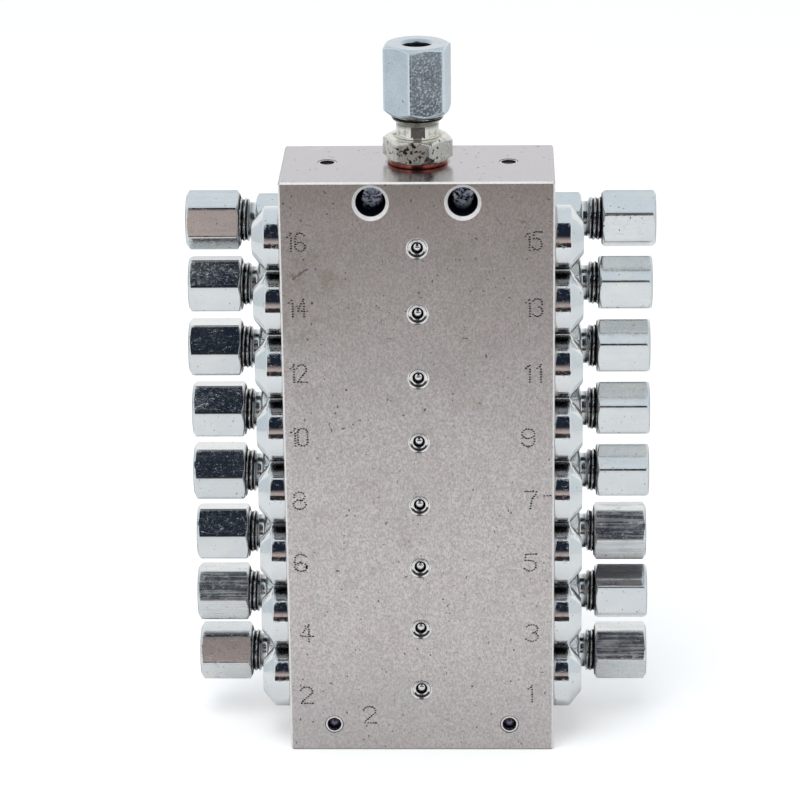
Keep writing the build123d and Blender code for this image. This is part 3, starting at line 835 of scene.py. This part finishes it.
# %% Outline of a fitting body
def body_corners(stud_r, stud_length, flats, hex_length, neck_r, neck_length, thread_r, thread_start,
                 thread_length, socket_depth, thread_depth, joint_shade=0.7, foot=0.15):
    """Half section of a fitting body, measured from the seat of its hexagon, in millimetres."""
    corner_r, face_r, chamfer = hexagon(flats)
    neck_end = hex_length + neck_length
    length = neck_end + thread_length
    cone = 1.1 / math.tan(math.radians(12))
    # The shade numbers paint shade on the thread and in the bore and socket, and darker lines where the
    # neck meets the hexagon and the thread.
    return [
        (-stud_length, 2.0), (-stud_length, stud_r - 0.5), (0.5 - stud_length, stud_r, 0, 2.0),
        (0.0, stud_r), (0.0, corner_r - foot * 1.7), (foot, corner_r, 0, 0.8),
        (hex_length - chamfer, corner_r, 0, 0.3), (hex_length, face_r),
        (hex_length, neck_r + 0.15, joint_shade), (hex_length + 0.2, neck_r),
        (neck_end - 0.15, neck_r, 0.6), (neck_end + 0.05, neck_r + 0.05, 0.2, 0.125),
        (neck_end + thread_start, thread_r, 0.2, 0.125, thread_depth),
        (length - 0.5, thread_r, 0.4, 0.2, thread_depth), (length, thread_r - 0.5, 0.6),
        (length, TUBE_HOLE_R + 1.1, 0.6), (length - cone, TUBE_HOLE_R, 0.8),
        (length - socket_depth, TUBE_HOLE_R, 0.8), (length - socket_depth, 2.0, 0.9, 4.0),
    ]


BODY_FLATS = 10.8
HEX_TURNS = {"left": (27, 34, 22, 31, 38, 25, 35, 30), "right": (33, 24, 36, 29, 21, 37, 26, 30)}
body_outline = outline_mesh(
    body_corners(4.9, 7.5, BODY_FLATS, 6.2, 3.9, 1.4, 4.9, 0.5, 8.4, 6.7, 0.5), corner_break=0.1)
for number, side, sign, index, level in outlets():
    fitting = turn_part(
        f"fitting_{number}", body_outline, side, (sign * SIDE_X, OUTLET_Y, level), fitting_zinc,
        flats=BODY_FLATS, flats_turn=HEX_TURNS[side][index], softness=0.2, wear=0.3, seed=0.17 * number,
    )
    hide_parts(f"outlet_body_{number}")
    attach(fitting, "block")
print("16 fitting bodies,", len(fitting.data.polygons), "faces each")

# %% [markdown]
# ## Closing plugs
#
# Each spool bore is closed by a screw plug with a round head, a cone and a small hexagon socket.
# The eight plugs of a side are one group in the drawing. One plug is turned, then a second
# recipe sets it on a line of eight points and gives each its own turn, from a fixed seed. The
# recipe also paints shade into the narrow gaps between the heads.

# %% Recipe: a row up the side of the block
row_up, given, last = new_recipe("row_up", [
    ("Piece", "Object"), ("Number", "Int"), ("First", "Vector"), ("Step", "Vector"),
    ("Largest turn", "Float"), ("Gap shade", "Float"), ("Darker facing up", "Float"), ("Seed", "Int"),
    ("Finish", "Material"),
])
start = given["Geometry"]
line = start.add("GeometryNodeMeshLine", {
    "Count": given["Number"], "Start Location": given["First"], "Offset": given["Step"]})
chance = start.add("FunctionNodeRandomValue", {"Seed": given["Seed"]}, output=1)
spin = start.vector(chance * given["Largest turn"], 0.0, 0.0)
shape = start.add("GeometryNodeObjectInfo", {"Object": given["Piece"]}, output=4)
rows = line.through("GeometryNodeInstanceOnPoints", {"Instance": shape, "Rotation": spin})
rows = rows.through("GeometryNodeRealizeInstances")
sideways, _, upwards = start.add("GeometryNodeInputNormal").parts()
# Painted shade in the gaps between neighbouring heads: where a head faces straight up or down, away from
# the row's ends, it is darkened. The stored shade also grows where a hollow's wall faces up.
in_gap = between(upwards, 0.86, 0.92).of("MAXIMUM", between(0 - upwards, 0.74, 0.84))
in_gap = in_gap * (sideways.of("ABSOLUTE") < 0.2)
spot, lowest, rise = (
    wire.parts()[2] for wire in (start.add("GeometryNodeInputPosition"), given["First"], given["Step"]))
in_gap = in_gap * (spot > lowest) * (spot < lowest + rise * (given["Number"] - 1)) * given["Gap shade"]
old_shade = start.add("GeometryNodeInputNamedAttribute", {"Name": "shade"})
new_shade = old_shade * (1 + given["Darker facing up"] * between(upwards, 0.05, 0.35))
rows = store(rows, "shade", new_shade.of("MAXIMUM", in_gap))
fill(last, rows.through("GeometryNodeSetMaterial", {"Material": given["Finish"]}))


def row_of(name, single, first, step, number, finish, turn=0.0, gap_shade=0.0, darker_facing_up=0.0, seed=3):
    """A row of copies of one piece, which is then removed; sizes in millimetres."""
    row = make(name, bpy.data.meshes.new("empty"), row_up, {
        "Piece": single, "Number": number, "First": Vector(first) * MM, "Step": Vector(step) * MM,
        "Largest turn": turn, "Gap shade": gap_shade, "Darker facing up": darker_facing_up, "Seed": seed,
        "Finish": finish})
    bpy.data.objects.remove(single)
    return row


# The socket's shade numbers paint shade inside the hexagon socket.
plug_outline = outline_mesh([
    (-8.0, 0.0, 0, 1.5), (-8.0, 4.4), (-7.5, 4.9, 0, 2.5), (0.0, 4.9), (0.0, 7.1, 0, 0.9),
    (3.6, 7.1, 0, 0.7), (6.4, 3.7), (6.4, 2.35), (6.2, 2.0, 0.5, 0, 0, 1), (3.4, 2.0, 0.9, 0, 0, 1),
    (3.2, 0.0, 0.9),
], corner_break=0.2, closed=False)
for side, sign in SIDES.items():
    single = turn_part(f"plug_{side}", plug_outline, side, (0, 0, 0), plug_zinc, gather=0.3)
    # The plugs get painted shade in the gaps between their heads.
    plugs = row_of(f"plugs_{side}", single, (sign * SIDE_X, PLUG_Y, LEVELS[0]), (0, 0, STEP_UP), 8,
                   plug_zinc, turn=math.tau, gap_shade=0.75, seed=7 + sign)
    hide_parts(f"closing_plugs_{side}")
    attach(plugs, "block")
print("two rows of plugs,", len(plugs.data.polygons), "faces each")

# %% [markdown]
# ## Pressed balls
#
# Drillings that were only needed to reach the inside are closed by pressing in a steel ball.
# The same row recipe sets them; a ball needs only a finer sphere than the drawing's.

# %% Balls
def ball_row(name, node, slot_name, way, first, step, number, finish, dark_from):
    """A row of polished balls in place of a node of the drawing, with painted shade where the rim hides
    them.
    """
    half_turns = [math.pi * ring / 48 for ring in range(49)]
    rings = [(-BALL_R * math.cos(half_turn), BALL_R * math.sin(half_turn)) for half_turn in half_turns]
    # Painted shade on the ball beyond dark_from, where it sits in the crevice under the rim.
    sphere = profile([(along, radius, float(radius > dark_from), 0, 0) for along, radius in rings])
    single = turn_part("ball", sphere, way, (0, 0, 0), finish, steps=48, softness=0.0, gather=0.0)
    balls = row_of(name, single, first, step, number, finish)
    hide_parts(node)
    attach(balls, "block")
    return balls


FRONT_ROW = (0, 0, STEP_UP), 8
PAIR = (2 * BALL_X, 0, 0), 2
ball_row("balls_front", "front_balls", "ball_steel", "front", (0, FRONT_Y + 2.4, LEVELS[0]), *FRONT_ROW,
         ball_steel, 0.93)
ball_row("balls_lower", "lower_balls", "ball_dark", "front", (-BALL_X, FRONT_Y + 2.2, LOW_BALL_Z), *PAIR,
         ball_dark, 1.3)
balls = ball_row("balls_top", "top_balls", "ball_dark", "up", (-BALL_X, INLET_Y, BLOCK_TOP - 2.4), *PAIR,
                 ball_dark, 1.3)
print("twelve balls,", len(balls.data.polygons), "faces for the last two")

# %% [markdown]
# ## Inlet fitting and copper washer
#
# The inlet is the same kind of fitting, one size larger, and it stands on a copper washer that
# was squeezed a little when it was tightened.

# %% Inlet
INLET_FLATS = 13.75
inlet_outline = outline_mesh(
    body_corners(4.8, 7.5, INLET_FLATS, 5.1, 4.7, 3.1, 5.9, 1.2, 10.4, 7.4, 0.5, 0.5, 0.72),
    corner_break=0.1)
inlet_body = turn_part(
    "inlet_fitting", inlet_outline, "up", (0, INLET_Y, BLOCK_TOP + 1.0), inlet_zinc,
    flats=INLET_FLATS, flats_turn=50.6, steps=120, softness=0.25, wear=0.5, seed=4.1)
# The steep end's shade numbers below 0 paint a highlight on the inlet nut's lower chamfer.
steep_end = [(0.0, 6.45, 0.95), (0.1, 6.55, -0.8), (0.42, 6.92, -1, 0.3), (1.3, 7.868, -0.3, 0.9)]
top_outline = outline_mesh(nut_corners(INLET_FLATS, 15.6, 6.0, 9.0, 0.0, 0.15, 0.55, steep_end))
inlet_nut = turn_part(
    "inlet_top_nut", top_outline, "up", (0, INLET_Y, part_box("inlet_nut")[0].z / MM), top_zinc,
    flats=INLET_FLATS, flats_turn=19.7, steps=168, softness=0.15, wear=0.35, seed=2.3)
ring_outline = outline_mesh([(0.0, 5.0), (0.0, 6.6), (1.0, 6.6), (1.0, 5.0)], corner_break=0.3)
washer = turn_part(
    "inlet_copper_washer", ring_outline, "up", (0, INLET_Y, BLOCK_TOP), copper, gather=0.0)
for piece, node, slot_name in ((inlet_body, "inlet_body", "inlet_zinc"),
                               (inlet_nut, "inlet_nut", "fitting_zinc"),
                               (washer, "inlet_washer", "copper")):
    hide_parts(node)
    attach(piece, "block")

# %% [markdown]
# ## Numbers punched into the block
#
# The outlet numbers were punched with a pin, dot by dot, so each stroke is a row of small
# pits. The strokes are written as short lines on a card one unit wide and two high. A recipe
# walks along them, drops a little cone every 0.6 mm, and the cones are then cut out of a copy
# of the block.

# %% Strokes of the digits
def arc(centre_x, centre_y, radius_x, radius_y, start, end, pieces=8):
    """Points on an ellipse, from one angle in degrees to another."""
    turns = [math.radians(start + (end - start) * part / pieces) for part in range(pieces + 1)]
    return [(centre_x + radius_x * math.cos(turn), centre_y + radius_y * math.sin(turn))
            for turn in turns]


DIGITS = {
    "0": [arc(0.5, 1.6, 0.5, 0.4, 0, 180) + arc(0.5, 0.4, 0.5, 0.4, 180, 360) + [(1.0, 1.6)]],
    "1": [[(0.0, 1.55), (0.45, 2.0), (0.45, 0.0)]],
    "2": [arc(0.5, 1.45, 0.5, 0.55, 165, -20) + [(0.0, 0.0), (1.0, 0.0)]],
    "3": [arc(0.48, 1.5, 0.48, 0.5, 150, -80), arc(0.48, 0.53, 0.52, 0.53, 70, -150)],
    "4": [[(0.72, 0.0), (0.72, 2.0), (0.0, 0.62), (1.05, 0.62)]],
    "5": [[(0.95, 2.0), (0.15, 2.0), (0.08, 1.15)] + arc(0.46, 0.65, 0.52, 0.65, 125, -145)],
    "6": [arc(0.5, 1.5, 0.48, 0.5, 30, 180) + arc(0.5, 0.5, 0.5, 0.5, 180, 540, 14)],
    "7": [[(0.0, 2.0), (1.0, 2.0), (0.62, 1.2), (0.48, 0.6), (0.42, 0.0)]],
    "8": [arc(0.5, 1.52, 0.44, 0.48, 0, 360, 14), arc(0.5, 0.52, 0.52, 0.52, 0, 360, 14)],
    "9": [arc(0.5, 1.45, 0.5, 0.55, 0, 360, 14), [(1.0, 1.45)] + arc(0.5, 0.5, 0.5, 0.5, 0, -160)],
}
print("strokes for", "".join(sorted(DIGITS)))

# %% Where each number stands
NUMBERS = {
    "16": (-28.2, 119.5), "14": (-28.2, 104.5), "12": (-28.2, 89.3), "10": (-28.3, 74.3),
    "8": (-28.2, 59.2), "6": (-28.2, 44.2), "4": (-27.4, 27.0), "2": (-27.6, 11.6),
    "15": (23.6, 119.6), "13": (23.7, 104.4), "11": (23.7, 89.2), "9": (22.8, 74.1),
    "7": (23.5, 59.3), "5": (23.3, 44.2), "3": (23.7, 27.0), "1": (24.3, 12.0),
}
LONE_2 = (-13.3, 6.7)
DASH = [(27.8, 62.3), (29.2, 62.35)]
CARD_HEIGHT = 2.05
WIDTH_OF_1, WIDTH_ALONE, WIDTH_IN_PAIR = 1.9, 2.8, 2.15
STEP_AFTER_1 = {"11": 2.45, "14": 1.80, "16": 1.75}


def number_strokes(text, left, bottom):
    """The strokes of a number in millimetres on the front face; a leading 1 is set narrow."""
    strokes = []
    for digit in text:
        width = WIDTH_OF_1 if digit == "1" else WIDTH_ALONE if len(text) == 1 else WIDTH_IN_PAIR
        for stroke in DIGITS[digit]:
            strokes.append([(left + x * width, bottom + y * CARD_HEIGHT) for x, y in stroke])
        left += STEP_AFTER_1.get(text, 1.45)
    return strokes


stroke_lines = []
for text, (left, bottom) in NUMBERS.items():
    stroke_lines += number_strokes(text, left, bottom)
stroke_lines += number_strokes("2", *LONE_2)
stroke_lines.append(DASH)
print(len(stroke_lines), "strokes")

# %% Recipe: punch marks along the strokes
punch, given, last = new_recipe("punch_marks", [
    ("Spacing", "Float"), ("Mark radius", "Float"), ("Mark depth", "Float"), ("Jitter", "Float"),
    ("Seed", "Int"),
])
start, jitter, depth = given["Geometry"], given["Jitter"], given["Mark depth"]
path = start.through("GeometryNodeMeshToCurve")
path = path.through("GeometryNodeResampleCurve", {"Length": given["Spacing"]}, {"mode": "LENGTH"})
marks = path.through("GeometryNodeCurveToPoints", {}, {"mode": "EVALUATED"})
low, high = start.vector(0.0 - jitter, 0.0, 0.0 - jitter), start.vector(jitter, 0.0, jitter)
shake = start.add("FunctionNodeRandomValue", {0: low, 1: high, "Seed": given["Seed"]},
                  {"data_type": "FLOAT_VECTOR"})
marks = marks.through("GeometryNodeSetPosition", {"Offset": shake})
marks = marks.through("GeometryNodeMergeByDistance", {"Distance": given["Spacing"] * 0.84})
pin = start.add("GeometryNodeMeshCone", {
    "Vertices": 12, "Radius Top": 0.5 * given["Mark radius"],
    "Radius Bottom": given["Mark radius"] * 1.05, "Depth": depth * 2})
pin = pin.through("GeometryNodeTransform", {"Translation": start.vector(0.0, 0.0, 0.0 - depth)})
size = start.add("FunctionNodeRandomValue", {2: 0.80, 3: 1.10, "Seed": given["Seed"] + 1}, output=1)
marks = marks.through("GeometryNodeInstanceOnPoints", {
    "Instance": pin, "Rotation": (math.radians(-90), 0.0, 0.0), "Scale": size})
fill(last, marks.through("GeometryNodeRealizeInstances"))

stroke_mesh = bpy.data.meshes.new("strokes")
stroke_points, stroke_edges = [], []
for stroke in stroke_lines:
    first = len(stroke_points)
    stroke_points += [(x * MM, FRONT_Y * MM, z * MM) for x, z in stroke]
    stroke_edges += [(first + step, first + step + 1) for step in range(len(stroke) - 1)]
stroke_mesh.from_pydata(stroke_points, stroke_edges, [])
cutter = make("punch_cutter", stroke_mesh, punch, {
    "Spacing": 0.58 * MM, "Mark radius": 0.33 * MM, "Mark depth": 0.28 * MM, "Jitter": 0.03 * MM,
    "Seed": 11})
cutter.data.materials.clear()
cutter.data.materials.append(pit_steel)
print("cutter of", len(cutter.data.polygons), "faces")

# %% [markdown]
# ## The block
#
# The block keeps the drawing's shape to the last drilling. The loaded mesh is loose triangles,
# so a copy is merged first and sliced between the levels, which keeps its long triangles short.
# Then the punch marks are cut into it with a Boolean modifier.

# %% Merge a copy and cut the marks
SLICES = (-7.5, 5.5)
work = bmesh.new()
work.from_mesh(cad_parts["valve_block"].data)
bmesh.ops.remove_doubles(work, verts=work.verts, dist=MERGE_GAP * MM)
for level in LEVELS:
    for lift in SLICES:
        bmesh.ops.bisect_plane(
            work, geom=work.verts[:] + work.edges[:] + work.faces[:], dist=MERGE_GAP * MM,
            plane_co=(0, 0, (level + lift) * MM), plane_no=(0, 0, 1),
        )
work.verts.index_update()
block_mesh = bpy.data.meshes.new("block_merged")
block_mesh.from_pydata(
    [vert.co.copy() for vert in work.verts], [],
    [[vert.index for vert in face.verts] for face in work.faces],
)
work.free()
block_mesh.materials.append(block_steel)
block_raw = new_object("block_raw", block_mesh)
cut = block_raw.modifiers.new("punched", "BOOLEAN")
cut.operation = "DIFFERENCE"
cut.solver = "MANIFOLD"
cut.material_mode = "TRANSFER"
cut.object = cutter
punched = plain_mesh(block_raw)
bpy.data.objects.remove(cutter)
print("block:", len(punched.polygons), "faces in", [paint.name for paint in punched.materials])

# %% [markdown]
# ## Staked rims round the balls
#
# After a ball is pressed in, a hollow punch turns the rim of its drilling over it. That leaves
# a bright ring round each ball, wider and stepped at the front row. The rings are turned like
# the other round pieces and joined to the block, because they are the block's own metal.

# %% Rims round the balls
# The shade numbers paint shade in the crevice next to the ball and darken a line round the outside; the
# middle zone grows darker where it faces up.
rim_front = [
    (-0.03, 2.48, 0.8), (-0.07, 2.38), (-0.27, 2.12), (-0.36, 2.03, 0.36), (-0.42, 1.94, 0.12),
    (-0.60, 1.65, 0.11), (-0.67, 1.54), (-0.74, 1.42), (-0.84, 1.24, 0.7), (-1.05, 1.22, 1),
    (-1.15, 1.40, 1), (-1.0, 1.49, 1), (-0.06, 2.43, 0.9),
]
rim_low = [
    (-0.02, 2.13, 0.8), (-0.11, 2.00, 0.7), (-0.12, 1.90), (-0.14, 1.52, 0.5), (-0.5, 1.46, 1),
    (-0.62, 1.49, 1), (-0.04, 2.08, 1),
]
PIT, BURNISHED_AND_HIGHLIT, SHADED_HOLE, STAKED = 1, 2, 3, 4
shell = bmesh.new()
shell.from_mesh(punched)
for corners, way, first, (step, number) in (
    (rim_front, "front", (0, FRONT_Y, LEVELS[0]), FRONT_ROW),
    (rim_low, "front", (-BALL_X, FRONT_Y, LOW_BALL_Z), PAIR),
    (rim_low, "up", (-BALL_X, INLET_Y, BLOCK_TOP), PAIR),
):
    rim_outline = outline_mesh(corners, corner_break=0.05, step=0.15)
    single = turn_part("rim", rim_outline, way, (0, 0, 0), staked, steps=64, gather=0.0)
    # The rims' walls that face up are made darker.
    rims = row_of("rims", single, first, step, number, staked, darker_facing_up=5.0)
    before = len(shell.faces)
    shell.from_mesh(rims.data)
    shell.faces.ensure_lookup_table()
    for face in shell.faces[before:]:
        face.material_index = STAKED
    bpy.data.objects.remove(rims)
print("block with its rims:", len(shell.faces), "faces")

# %% Painted highlight on the pits and long edges, bright countersinks, and painted shade in the holes
for face in shell.faces:
    middle = face.calc_center_median() / MM
    slope = abs(face.normal.y)
    from_hole = math.hypot(abs(middle.x) - MOUNT_X, middle.z - MOUNT_Z)
    on_long_edge = middle.y < FRONT_Y + 0.5 and abs(middle.x) > SIDE_X - 0.5
    # Painted highlight: the upward walls of the punch marks and the chamfers of the long edges get the
    # bright steel, as do the countersinks. The walls of the holes get painted shade.
    if face.material_index == PIT and face.normal.z > 0.72:
        face.material_index = BURNISHED_AND_HIGHLIT
    if 0.6 < slope < 0.8 and (from_hole < 4.5 or on_long_edge):
        face.material_index = BURNISHED_AND_HIGHLIT
    if from_hole < 3.5 and slope < 0.1:
        face.material_index = SHADED_HOLE
    face.smooth = max(abs(part) for part in face.normal) < 0.99999
shell.to_mesh(punched)
shell.free()
for paint in (burnished_and_highlit, shaded_hole_wall, staked):
    punched.materials.append(paint)
punched.set_sharp_from_angle(angle=math.radians(30))
block = new_object("block_punched", punched)
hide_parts("valve_block")
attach(block, "block")
print("block finished in", [paint.name for paint in punched.materials])

# %% [markdown]
# ## Pieces that keep the drawing's mesh
#
# Spools and cutting rings are plain turned parts, and the drawing's mesh shows all there is.
# They only get their finish, put into the material slots that they already have.

# %% Spools and cutting rings
for name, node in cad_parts.items():
    if name.startswith("spool") or "cutting_ring" in name:
        finish = spool_steel if name.startswith("spool") else ring_steel
        if not node.material_slots:
            node.data.materials.append(finish)
        for slot_holder in node.material_slots:
            slot_holder.material = finish
print("inner pieces finished")
